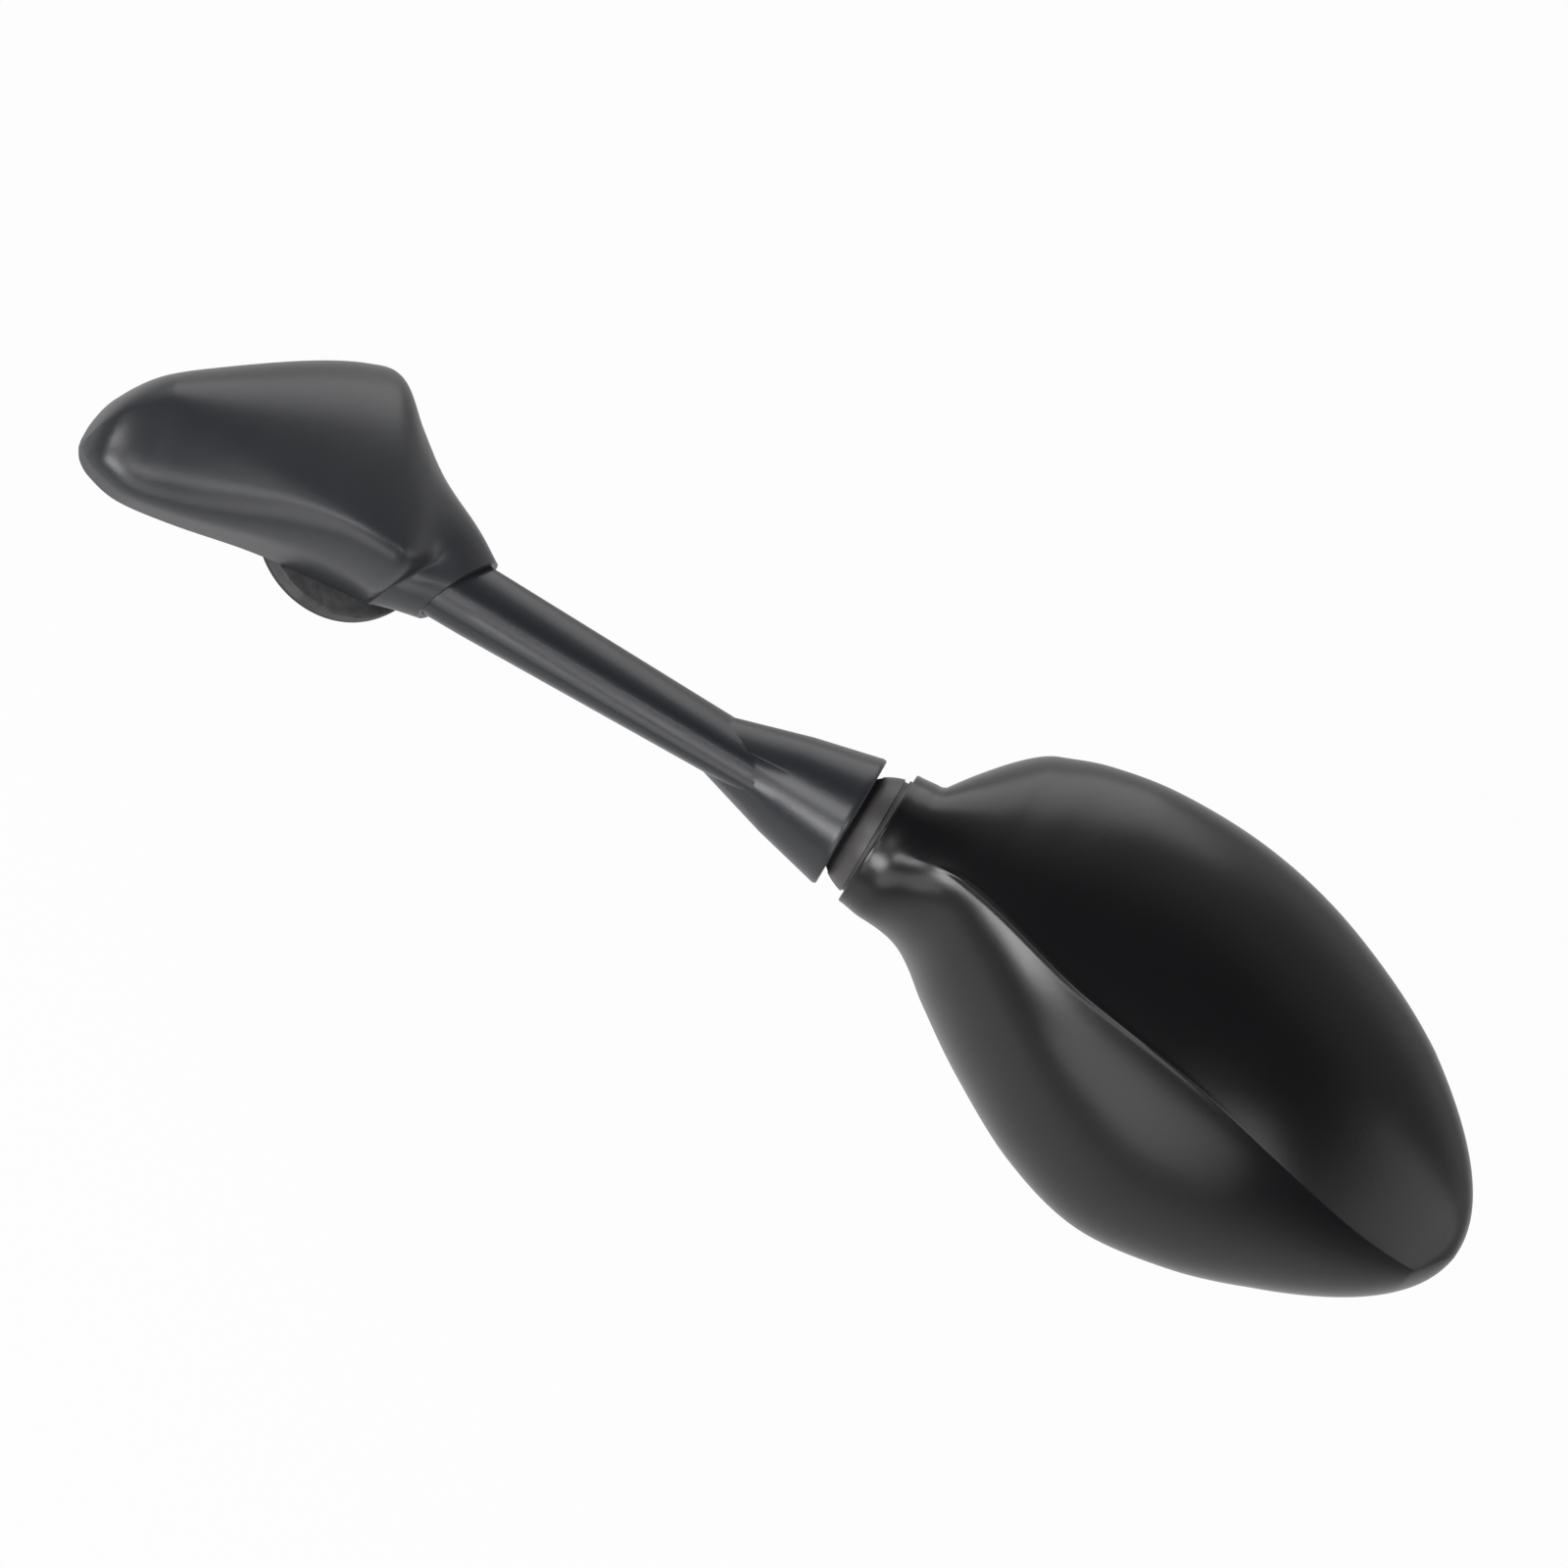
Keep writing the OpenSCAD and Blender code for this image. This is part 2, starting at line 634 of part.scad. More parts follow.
module glass_carrier() {
  color([0.15, 0.15, 0.16])
    at_head() difference() {
      rim_plate(carrier_inset, foam_back, carrier_back);
      for (p = carrier_screw_places)
        translate([p[0], p[1], foam_back - 1]) cylinder(r = carrier_screw_r + screw_gap, h = carrier_t + 2);
      for (p = carrier_screw_places)
        translate([p[0], p[1], foam_back - 1]) cylinder(r = 3.2, h = 1.9);
    }
}

module carrier_screws() {
  color([0.66, 0.67, 0.69])
    at_head() for (p = carrier_screw_places) translate([p[0], p[1], foam_back]) {
      cylinder(r = 3, h = 0.85);
      cylinder(r = carrier_screw_r, h = 8);
    }
}

module foam_pad() {
  color([0.3, 0.3, 0.31])
    at_head() rim_plate(glass_edge + 1, glass_back, foam_back);
}

module mirror_glass() {
  color([0.75, 0.78, 0.8])
    at_head() rim_plate(glass_edge, glass_front, glass_back);
}

// Rubber gasket: a wall round the glass and a thin lip over its front edge
lip_t = 0.5;
lip_reach = 1.4;
module glass_gasket() {
  color([0.05, 0.05, 0.05])
    at_head() difference() {
      rim_plate(gasket_inset, glass_front - lip_t, foam_back);
      rim_plate(gasket_inset + gasket_wall, glass_front, foam_back + 1);
      rim_plate(gasket_inset + gasket_wall + lip_reach, glass_front - 2 * lip_t, foam_back + 1);
    }
}

// Boot outline: share of the length, reach of the narrow and the broad side, height of the crown
boot_rows = [
  [0.000, 0.11, 0.02, 0.16],
  [0.013, 0.42, 0.14, 0.32],
  [0.047, 0.70, 0.29, 0.44],
  [0.126, 0.96, 0.48, 0.54],
  [0.263, 0.92, 0.67, 0.66],
  [0.442, 0.72, 0.88, 0.85],
  [0.568, 0.66, 0.99, 0.96],
  [0.647, 0.65, 1.00, 1.00],
  [0.716, 0.65, 0.81, 1.00],
  [0.800, 0.68, 0.59, 0.97],
  [0.884, 0.90, 0.46, 0.93],
  [1.000, 1.00, 0.36, 0.88]
];
// The boot's place round the fold axis: the share of its length behind the axis, how far the axis
// lies to its broad side, and its turn from the arm
boot_back = 0.6737;
boot_side = 9.6;
boot_turn = 12;
boot_points = 28;
crown_side = 9;
collar_x = boot_len * 0.259;
collar_slant = [0.46, -0.22];
collar_blend = 0.7;
collar_flare = 14;
collar_lip = 7;

// One loop of the boot's skin at a place from 0 to 1, set in by a wall, down to a floor
function boot_loop(place, inset = 0, floor_z = skirt_z) =
  let (
    s = boot_len * along(boot_rows, 0, place),
    narrow = max(boot_narrow * along(boot_rows, 1, place) - inset, 0.5),
    broad = max(boot_broad * along(boot_rows, 2, place) - inset, 0.5),
    crown = mix(skirt_z, boot_top, along(boot_rows, 3, place)) - inset,
    side = min(crown_side, broad / 2),
    q = min(max((s / boot_len - collar_blend) / (1 - collar_blend), 0), 1),
    b = smooth(q / 0.9),
    half = boot_points / 2,
    rest = half - 2,
    p1 = [side - 0.62 * (side + narrow), crown],
    p2 = [-narrow - 0.5 - 2.5 * smooth((s / boot_len - 0.53) / 0.26), mix(skirt_z, crown, 0.66)]
  )
  [for (i = [0:boot_points - 1])
    let (
      a = 180 * i / half,
      t = (i - half - 1) / rest,
      v = (a - 90) / 90,
      wz = a <= 90
        ? [side + (broad - side) * cos(a), skirt_z + (crown - skirt_z) * sin(a)]
        : i <= half
          ? pow(1 - v, 3) * [side, crown] + 3 * v * pow(1 - v, 2) * p1 + 3 * v * v * (1 - v) * p2
            + pow(v, 3) * [-narrow, skirt_z]
          : [mix(-narrow, broad, t), floor_z],
      back = s - boot_back * boot_len,
      dome = [back * cos(boot_turn) - (wz[0] - boot_side) * sin(boot_turn),
        back * sin(boot_turn) + (wz[0] - boot_side) * cos(boot_turn), wz[1]],
      r = collar_r - inset + collar_flare * (1 - q) * smooth((cos(a) + 0.3) / 1.3)
        + collar_lip * (1 - q) * smooth(-cos(a)),
      x = collar_x + s - boot_len,
      round = [r * cos(a - head_roll), r * sin(a - head_roll)],
      tube = arm_point([x + collar_slant * round, round[0], round[1]])
    )
      mix(dome, tube, b)];

// Moulded boot over the pivot, with a collar that grips the stem
module base_boot() {
  color([0.11, 0.11, 0.12])
    difference() {
      loft([for (i = [0:28]) boot_loop(i / 28)]);
      loft([for (i = [0:18]) boot_loop(mix(0.06, 0.93, i / 18), boot_wall, skirt_z - 4)]);
      at_arm() stem(stem_start, collar_x + 15, 5, 0.15);
    }
}

foot_pad();
mounting_foot();
pivot_bolt();
thrust_washer();
spring_washer();
disc_springs();
pivot_nut();
arm();
knuckle_bush();
base_boot();
ball_stud();
joint_shield();
ball_liner();
housing();
seat_ring();
pressure_cup();
cup_spring();
spring_plate();
plate_screws();
glass_carrier();
carrier_screws();
foam_pad();
mirror_glass();
glass_gasket();
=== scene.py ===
"""Looks of the motorcycle mirror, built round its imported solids."""

import math

import bmesh
import bpy
from mathutils import Matrix, Vector


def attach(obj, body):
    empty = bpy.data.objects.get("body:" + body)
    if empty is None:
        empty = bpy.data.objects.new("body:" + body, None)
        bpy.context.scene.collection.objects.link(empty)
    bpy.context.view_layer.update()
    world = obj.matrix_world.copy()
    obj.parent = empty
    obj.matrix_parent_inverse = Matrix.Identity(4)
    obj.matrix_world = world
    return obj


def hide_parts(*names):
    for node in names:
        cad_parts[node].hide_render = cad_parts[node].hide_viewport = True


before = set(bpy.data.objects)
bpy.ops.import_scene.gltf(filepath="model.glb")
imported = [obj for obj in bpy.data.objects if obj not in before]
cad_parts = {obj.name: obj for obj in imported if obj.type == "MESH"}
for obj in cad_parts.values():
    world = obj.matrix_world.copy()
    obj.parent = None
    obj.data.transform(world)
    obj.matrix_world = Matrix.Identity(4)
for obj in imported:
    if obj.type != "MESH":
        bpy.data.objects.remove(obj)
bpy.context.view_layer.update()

# Camera: the photograph looks at the back of the head, from above the arm and a little to its
# side, through a long lens. Its pixels are 0.21 mm across on the arm's axis.
image_size, pixels_per_mm = 1600, 4.762
foot_pixel, aim_depth = (349.3, 541.2), 15
right = Vector((0.79154, 0.46035, 0.40193))
up = Vector((-0.57609, 0.78156, 0.23936))
toward = Vector((-0.20394, -0.42100, 0.88384))
aim_mm = (
    right * ((image_size / 2 - foot_pixel[0]) / pixels_per_mm)
    + up * ((foot_pixel[1] - image_size / 2) / pixels_per_mm)
    + toward * aim_depth
)
camera_data = bpy.data.cameras.new("camera")
camera_data.lens = 1000
camera_data.sensor_width = 36
camera = bpy.data.objects.new("camera", camera_data)
bpy.context.scene.collection.objects.link(camera)
view_width = image_size / pixels_per_mm / 1000
distance = view_width * camera_data.lens / camera_data.sensor_width
turned = Matrix((right, up, toward)).transposed().to_4x4()
camera.matrix_world = Matrix.Translation(aim_mm / 1000 + toward * distance) @ turned
camera_data.clip_end = 40
bpy.context.scene.camera = camera
bpy.context.scene.view_settings.view_transform = "Standard"


class Wire:
    """A node's output, with arithmetic that adds Math nodes."""

    def __init__(self, finish, socket):
        self.finish = finish
        self.socket = socket

    def maths(self, operation, first, second):
        return self.finish.node("ShaderNodeMath", {"operation": operation}, {0: first, 1: second})

    def __add__(self, other):
        return self.maths("ADD", self, other)

    def __radd__(self, other):
        return self.maths("ADD", other, self)

    def __mul__(self, other):
        return self.maths("MULTIPLY", self, other)

    def __rmul__(self, other):
        return self.maths("MULTIPLY", other, self)


class Finish:
    """One material, made from nodes."""

    def __init__(self, name):
        self.material = bpy.data.materials.new(name)
        self.material.use_nodes = True
        self.tree = self.material.node_tree
        self.tree.nodes.clear()

    def node(self, kind, settings, inputs, output=0):
        """Any node: its settings first, then the values or wires of its inputs."""
        made = self.tree.nodes.new(kind)
        for name, value in settings.items():
            if name == "stops":
                ramp = made.color_ramp
                for _ in value[2:]:
                    ramp.elements.new(0.5)
                for element, (position, shade) in zip(ramp.elements, value):
                    element.position = position
                    element.color = (shade, shade, shade, 1)
            else:
                setattr(made, name, value)
        for name, value in inputs.items():
            if isinstance(value, Wire):
                self.tree.links.new(value.socket, made.inputs[name])
            else:
                made.inputs[name].default_value = value
        return Wire(self, made.outputs[output]) if made.outputs else None

    def noise(self, scale, detail=3.0, roughness=0.5):
        """An uneven cloud or grain; the scale is its spots in a metre."""
        place = self.node("ShaderNodeTexCoord", {}, {}, "Object")
        values = {"Vector": place, "Scale": scale, "Detail": detail, "Roughness": roughness}
        return self.node("ShaderNodeTexNoise", {}, values)

    def mix(self, factor, first, second):
        """Two colours blended: inputs 6 and 7 and output 2 are the node's colour sockets."""
        values = {"Factor": factor, 6: (*first, 1), 7: (*second, 1)}
        return self.node("ShaderNodeMix", {"data_type": "RGBA"}, values, 2)

    def ramp(self, wire, *stops):
        """A grey through stops of position and shade."""
        return self.node("ShaderNodeValToRGB", {"stops": stops}, {"Fac": wire})

    def bump(self, height, strength, distance):
        values = {"Height": height, "Strength": strength, "Distance": distance}
        return self.node("ShaderNodeBump", {}, values)

    def surface(self, **sockets):
        """The shader and the output; a socket's name is written with _ for its spaces."""
        values = {name.replace("_", " "): value for name, value in sockets.items()}
        shader = self.node("ShaderNodeBsdfPrincipled", {}, values)
        self.node("ShaderNodeOutputMaterial", {}, {"Surface": shader})
        return self.material


# Backdrop: a pale floor well below the mirror. The camera sees it as nearly white, and it keeps the
# soft shadow. Gloss sees less than half of that white.
floor_reach, floor_centre, floor_shade = 6, (0.1, 0, -0.25), 0.8
white_seen, white_in_gloss = 0.96, 0.4
floor_bm = bmesh.new()
bmesh.ops.create_grid(floor_bm, x_segments=1, y_segments=1, size=floor_reach)
bmesh.ops.translate(floor_bm, verts=floor_bm.verts, vec=floor_centre)
floor_mesh = bpy.data.meshes.new("floor")
floor_bm.to_mesh(floor_mesh)
floor_bm.free()
floor = bpy.data.objects.new("floor", floor_mesh)
bpy.context.scene.collection.objects.link(floor)
paper = Finish("pale_floor")
camera_ray = paper.node("ShaderNodeLightPath", {}, {}, "Is Camera Ray")
clear_ray = paper.node("ShaderNodeLightPath", {}, {}, "Is Transmission Ray")
gloss_ray = paper.node("ShaderNodeLightPath", {}, {}, "Is Glossy Ray")
whiteness = (camera_ray + clear_ray) * white_seen + gloss_ray * white_in_gloss
card = paper.node("ShaderNodeBsdfDiffuse", {}, {"Color": (floor_shade, floor_shade, floor_shade, 1)})
white = paper.node("ShaderNodeEmission", {}, {"Color": (1, 1, 1, 1), "Strength": 1.0})
both = paper.node("ShaderNodeMixShader", {}, {0: whiteness, 1: card, 2: white})
paper.node("ShaderNodeOutputMaterial", {}, {"Surface": both})
floor_mesh.materials.append(paper.material)

# Light: a room that is dark where the camera stands and pale behind the mirror, where the camera
# itself sees white. Square lamps round the camera's line draw the highlights.
room_shades = (0.0, 0.8), (0.40, 0.6), (0.50, 0.34), (0.66, 0.26), (0.76, 0.03), (1.0, 0.02)
lamp_reach = 1.2
world = bpy.data.worlds.new("studio")
bpy.context.scene.world = world
world.use_nodes = True


class Room(Finish):
    """The world, made from nodes."""

    def __init__(self, tree):
        self.tree = tree
        tree.nodes.clear()


room = Room(world.node_tree)
ray = room.node("ShaderNodeTexCoord", {}, {}, "Generated")
product = {"operation": "DOT_PRODUCT"}
ahead = room.node("ShaderNodeVectorMath", product, {0: ray, 1: tuple(toward)}, "Value")
wall = room.ramp(ahead * 0.5 + 0.5, *room_shades)
sky = room.node("ShaderNodeBackground", {}, {"Color": wall, "Strength": 1.0})
bright = room.node("ShaderNodeBackground", {}, {"Color": (1, 1, 1, 1), "Strength": 1.0})
is_camera = room.node("ShaderNodeLightPath", {}, {}, "Is Camera Ray")
is_through = room.node("ShaderNodeLightPath", {}, {}, "Is Transmission Ray")
shown = room.node("ShaderNodeMixShader", {}, {0: is_camera + is_through, 1: sky, 2: bright})
room.node("ShaderNodeOutputWorld", {}, {"Surface": shown})


def softbox(name, lean, turn, size, power):
    """A square lamp: its angle from and round the camera's line, its size and its power."""
    lamp_data = bpy.data.lights.new(name, "AREA")
    lamp_data.size = size
    lamp_data.energy = power
    lamp = bpy.data.objects.new(name, lamp_data)
    bpy.context.scene.collection.objects.link(lamp)
    lean, turn = math.radians(lean), math.radians(turn)
    direction = (
        right * math.sin(lean) * math.cos(turn)
        + up * math.sin(lean) * math.sin(turn)
        + toward * math.cos(lean)
    )
    lamp.location = aim_mm / 1000 + direction * lamp_reach
    lamp.rotation_mode = "QUATERNION"
    lamp.rotation_quaternion = direction.to_track_quat("Z", "Y")


softbox("left_box", 36, 203, 0.42, 6.2)
softbox("lower_left_box", 48, 246, 0.65, 2.7)
softbox("upper_left_box", 33, 138, 0.5, 5.0)
softbox("front_box", 9, 240, 0.22, 1.6)
softbox("right_box", 35, 337, 0.45, 1.4)
softbox("high_rim_box", 102, 75, 0.8, 3.0)
softbox("low_right_box", 78, 340, 0.75, 1.8)
softbox("low_left_rim_box", 92, 236, 0.3, 2.6)


# Foot: a round die-cast plate in a rough black coat, screwed up from inside the fairing, with a
# rubber pad under it. The arm turns on its raised boss.
# Shapes are drawn in millimetres, and MM takes them to metres.
MM = Matrix.Scale(0.001, 4)
foot_r, foot_t, foot_draft, foot_round = 20.5, 4, 0.6, 0.8
pad_r, pad_flat_r, pad_t, pad_round = foot_r - 0.1, foot_r - 1.5, 1.5, 0.5
boss_r, boss_h, boss_chamfer, bolt_hole, head_recess, head_h = 10, 1.5, 1, 4.06, 7.4, 3
hole_spacing, hole_r, pad_hole_gap, cut_past = 28, 2.5, 0.6, 1
foot_top = pad_t + foot_t
boss_top = foot_top + boss_h


def piece(name, bm):
    """An object with the shape of a bmesh, in the scene."""
    mesh = bpy.data.meshes.new(name)
    bm.to_mesh(mesh)
    bm.free()
    made = bpy.data.objects.new(name, mesh)
    bpy.context.scene.collection.objects.link(made)
    return made


def turned_part(profile, place, segments=128):
    """A profile of radius and height, turned round the height axis; place takes +Z to the axis."""
    bm = bmesh.new()
    verts = [bm.verts.new((radius, 0, height)) for radius, height in profile]
    edges = [bm.edges.new(pair) for pair in zip(verts, verts[1:])]
    bmesh.ops.spin(
        bm, geom=verts + edges, cent=(0, 0, 0), axis=(0, 0, 1), dvec=(0, 0, 0),
        angle=math.tau, steps=segments, use_merge=True, use_duplicate=False,
    )
    bmesh.ops.remove_doubles(bm, verts=bm.verts, dist=1e-4)
    bmesh.ops.recalc_face_normals(bm, faces=bm.faces)
    bmesh.ops.transform(bm, matrix=place, verts=bm.verts)
    return bm


def rod(radius, start, end, place, segments=96):
    """A cylinder along the height axis of its place."""
    return turned_part([(0, start), (radius, start), (radius, end), (0, end)], place, segments)


def rounded(profile, radius, steps=4):
    """The same profile with each inner corner rounded, as far as its sides allow."""
    points = [Vector(p) for p in profile]
    out = [points[0]]
    for before, corner, after in zip(points, points[1:], points[2:]):
        reach = min(radius, (before - corner).length * 0.45, (after - corner).length * 0.45)
        start = corner + (before - corner).normalized() * reach
        end = corner + (after - corner).normalized() * reach
        for i in range(steps + 1):
            t = i / steps
            out.append(start * (1 - t) ** 2 + corner * 2 * t * (1 - t) + end * t * t)
    return [tuple(p) for p in out + points[-1:]]


def carve(target, operation, *shapes):
    """Joins solids to a piece, or cuts them from it."""
    for shape in shapes:
        tool = piece("tool", shape)
        step = target.modifiers.new("step", "BOOLEAN")
        step.operation = operation
        step.solver = "MANIFOLD"
        step.object = tool
        evaluated = target.evaluated_get(bpy.context.evaluated_depsgraph_get())
        result = bpy.data.meshes.new_from_object(evaluated)
        target.modifiers.remove(step)
        old = target.data
        target.data = result
        bpy.data.meshes.remove(old)
        bpy.data.objects.remove(tool)


def smoothed(target, angle):
    """Smooth shading, except where faces meet at more than an angle in degrees."""
    target.data.materials.clear()
    target.data.shade_smooth()
    target.data.set_sharp_from_angle(angle=math.radians(angle))


def screw_hole(radius, side, top):
    """A cutter for one of the foot's two screws, from below the pad to above a height."""
    place = MM @ Matrix.Translation((side * hole_spacing / 2, 0, 0))
    return rod(radius, -cut_past, top + cut_past, place, 48)


foot = piece("round_foot", turned_part(
    [(0, pad_t)] + rounded(
        [
            (foot_r - foot_draft, pad_t), (foot_r, pad_t), (foot_r, foot_top),
            (boss_r, foot_top), (boss_r, boss_top), (boss_r - boss_chamfer, boss_top),
        ],
        foot_round,
    ) + [(0, boss_top)],
    MM,
))
carve(
    foot, "DIFFERENCE",
    rod(bolt_hole, -cut_past, boss_top + cut_past, MM), rod(head_recess, -cut_past, pad_t + head_h, MM),
    screw_hole(hole_r, 1, boss_top), screw_hole(hole_r, -1, boss_top),
)
smoothed(foot, 30)
casting = Finish("rough_black_casting")
pits = casting.noise(420, 4, 0.6)
pitted = casting.ramp(pits, (0.35, 0), (0.65, 1))
patches = casting.noise(90, 3)
foot.data.materials.append(
    casting.surface(
        Base_Color=casting.mix(pitted, (0.032, 0.032, 0.034), (0.060, 0.060, 0.063)),
        Roughness=casting.ramp(patches, (0.3, 0.52), (0.7, 0.68)),
        Normal=casting.bump(pits, 0.5, 0.0003),
    )
)
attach(foot, "foot")
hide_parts("mounting_foot")

pad_edge = [(pad_flat_r, 0), (pad_r, 0), (pad_r, pad_t), (pad_flat_r, pad_t)]
pad = piece("rubber_pad", turned_part([(0, 0)] + rounded(pad_edge, pad_round) + [(0, pad_t)], MM))
carve(pad, "DIFFERENCE", *(screw_hole(hole_r + pad_hole_gap, side, pad_t) for side in (1, -1)))
smoothed(pad, 30)
rubber = Finish("matt_black_rubber")
dust = rubber.noise(240, 4, 0.6)
pad.data.materials.append(
    rubber.surface(
        Base_Color=rubber.mix(dust, (0.022, 0.022, 0.023), (0.036, 0.036, 0.037)),
        Roughness=rubber.ramp(dust, (0.3, 0.62), (0.7, 0.78)),
        Normal=rubber.bump(rubber.noise(1500, 2), 0.2, 0.0002),
    )
)
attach(pad, "foot")
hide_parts("foot_pad")


# Fold pivot: a plated bolt with a brass thrust washer under the knuckle, an acetal bush in it, and
# disc springs under the nut above it. The boot hides them.
def dressed(finish, *nodes):
    """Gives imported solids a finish."""
    for name in nodes:
        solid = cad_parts[name]
        for slot in solid.material_slots:
            slot.link = "DATA"
            slot.material = finish


def metal(name, colour, shade, low, high, scale=300.0):
    """A bare or plated metal, a little uneven in colour, and in roughness from low to high."""
    finish = Finish(name)
    cloud = finish.noise(scale, 4, 0.6)
    return finish.surface(
        Base_Color=finish.mix(cloud, colour, shade), Metallic=1.0,
        Roughness=finish.ramp(cloud, (0.3, low), (0.7, high)),
        Normal=finish.bump(cloud, 0.08, 0.0002),
    )


def moulded(name, colour, shade, low, high, scale=260.0):
    """A plain moulded plastic, a little uneven in colour, and in roughness from low to high."""
    finish = Finish(name)
    cloud = finish.noise(scale, 3)
    return finish.surface(
        Base_Color=finish.mix(cloud, colour, shade),
        Roughness=finish.ramp(cloud, (0.3, low), (0.7, high)),
        Normal=finish.bump(finish.noise(1600, 2), 0.1, 0.0002),
    )


zinc = metal("zinc_plating", (0.60, 0.61, 0.64), (0.50, 0.51, 0.54), 0.28, 0.42)
dressed(zinc, "pivot_bolt", "pivot_nut")
brass = metal("rolled_brass", (0.72, 0.56, 0.28), (0.62, 0.47, 0.22), 0.26, 0.40)
dressed(brass, "thrust_washer")
plain_steel = metal("plain_steel", (0.62, 0.62, 0.63), (0.54, 0.54, 0.55), 0.24, 0.36)
dressed(plain_steel, "spring_washer")
oiled_steel = metal("oiled_spring_steel", (0.30, 0.30, 0.31), (0.22, 0.22, 0.24), 0.22, 0.34)
dressed(oiled_steel, "disc_springs")
natural_acetal = moulded("natural_acetal", (0.74, 0.72, 0.65), (0.70, 0.68, 0.60), 0.34, 0.44)
dressed(natural_acetal, "knuckle_bush")


# Arm: one alloy casting coated satin black, with a knuckle on the fold bolt, a stem that grows
# deeper and squarer towards its end, and a conical flare that holds the ball stud.
arm_rise, axis_offset, axis_height, head_roll = 13, 5, 14.6, 25
arm_frame = (
    MM
    @ Matrix.Translation((0, -axis_offset, axis_height))
    @ Matrix.Rotation(math.radians(-arm_rise), 4, "Y")
    @ Matrix.Rotation(math.radians(head_roll), 4, "X")
)
arm_len, flare_len, flare_r, flare_wall, flare_depth = 122.5, 32, 15.3, 2.2, 12
flare_start = arm_len - flare_len
stem_root_r, stem_tip_r, stem_deep, stem_edge, stem_peak = 8, 6.7, (1, 1.4), (2.6, 4), 1.5
stem_from, taper_from, waist_depth, waist_run, stem_in_flare = 5, 30, 1.6, (8, 14), 14
boss_out, stud_r, stud_len, boss_back = 6.5, 4.06, 22, 0.6
knuckle_z, knuckle_h, knuckle_r, knuckle_chamfer = 8.1, 12, 11, (1.2, 1.4)
bush_hole, nut_recess, clear_depth, clear_height = 5.32, 10.1, 10, 30


def mix(a, b, t):
    """A value or a point between two, at a share of the way."""
    return a * (1 - t) + b * t


def smooth(x):
    """A smooth step from 0 to 1."""
    t = min(max(x, 0), 1)
    return t * t * (3 - 2 * t)


def eased(distance, start, run):
    """A smooth step from 0 to 1 that begins at a distance and takes a run."""
    return smooth((distance - start) / run)


def spread(start, end, steps):
    """Even values from one to the other, both among them."""
    return [mix(start, end, i / steps) for i in range(steps + 1)]


def loft(sections, place, ring=False):
    """A skin through sections of equally many points, closed at both ends or into a ring."""
    count = len(sections[0])
    if ring:
        rows = sections + sections[:1]
    else:
        first, last = (sum(end, Vector((0, 0, 0))) / count for end in (sections[0], sections[-1]))
        rows = [[first] * count] + sections + [[last] * count]
    bm = bmesh.new()
    bmesh.ops.create_grid(bm, x_segments=len(rows) - 1, y_segments=count, size=1)
    for vert in bm.verts:
        row = round((vert.co.x + 1) / 2 * (len(rows) - 1))
        column = round((vert.co.y + 1) / 2 * count) % count
        vert.co = rows[row][column]
    bmesh.ops.remove_doubles(bm, verts=bm.verts, dist=1e-5)
    bmesh.ops.dissolve_degenerate(bm, edges=bm.edges, dist=1e-5)
    bmesh.ops.recalc_face_normals(bm, faces=bm.faces)
    bmesh.ops.transform(bm, matrix=place, verts=bm.verts)
    return bm


# Lays a turned part's axis along the arm.
LAY = Matrix.Rotation(math.radians(90), 4, "Y")


def stem_section(x, extra=0.0, points=96):
    """The stem's outline: round below; above, squarish on one side and flatter on the other."""
    part = max(x - taper_from, 0) / (flare_start - taper_from)
    radius = mix(stem_root_r, stem_tip_r, part) - waist_depth * (1 - eased(x, *waist_run)) + extra
    section = []
    for i in range(points):
        angle = math.tau * i / points
        cosine, sine = math.cos(angle), math.sin(angle)
        deep = mix(*stem_deep, part) if sine > 0 else 1
        power = 2 if sine <= 0 else mix(*stem_edge, part) if cosine < 0 else stem_peak
        r = radius * (abs(cosine) ** power + (abs(sine) / deep) ** power) ** (-1 / power)
        section.append(Vector((x, r * cosine, r * sine)))
    return section


inner_r = flare_r - flare_wall
boss_end, flare_floor, knuckle_top = arm_len - boss_back, arm_len - flare_depth, knuckle_z + knuckle_h
flare = turned_part(
    [
        (0, flare_start - 5), (flare_r * 0.36, flare_start - 5), (flare_r * 0.766, arm_len - 16),
        (flare_r * 0.985, arm_len - 1.8), (flare_r, arm_len - 0.9),
        (flare_r - 0.08, arm_len - 0.3), (flare_r - 0.35, arm_len), (inner_r + 0.2, arm_len),
        (inner_r, arm_len - 0.2), (inner_r - 2.8, flare_floor),
        (boss_out, flare_floor), (boss_out, boss_end), (0, boss_end),
    ],
    arm_frame @ LAY,
)
knuckle = turned_part(
    [
        (0, knuckle_z), (knuckle_r, knuckle_z), (knuckle_r, knuckle_top - knuckle_chamfer[1]),
        (knuckle_r - knuckle_chamfer[0], knuckle_top), (0, knuckle_top),
    ],
    MM,
)
stem_stations = spread(stem_from, flare_start + stem_in_flare, 72)
arm = piece("arm_casting", loft([stem_section(x) for x in stem_stations], arm_frame))
carve(arm, "UNION", flare, knuckle)
carve(
    arm,
    "DIFFERENCE",
    rod(knuckle_r + 2, knuckle_z - clear_depth, knuckle_z, MM),
    rod(nut_recess, knuckle_top, knuckle_top + clear_height, MM),
    rod(bush_hole, knuckle_z - cut_past, knuckle_top + cut_past, MM),
    rod(stud_r, arm_len - stud_len, arm_len + cut_past, arm_frame @ LAY),
)
smoothed(arm, 30)
coat = Finish("satin_black_coating")
grain = coat.noise(1400, 2)
flow = coat.noise(35, 4)
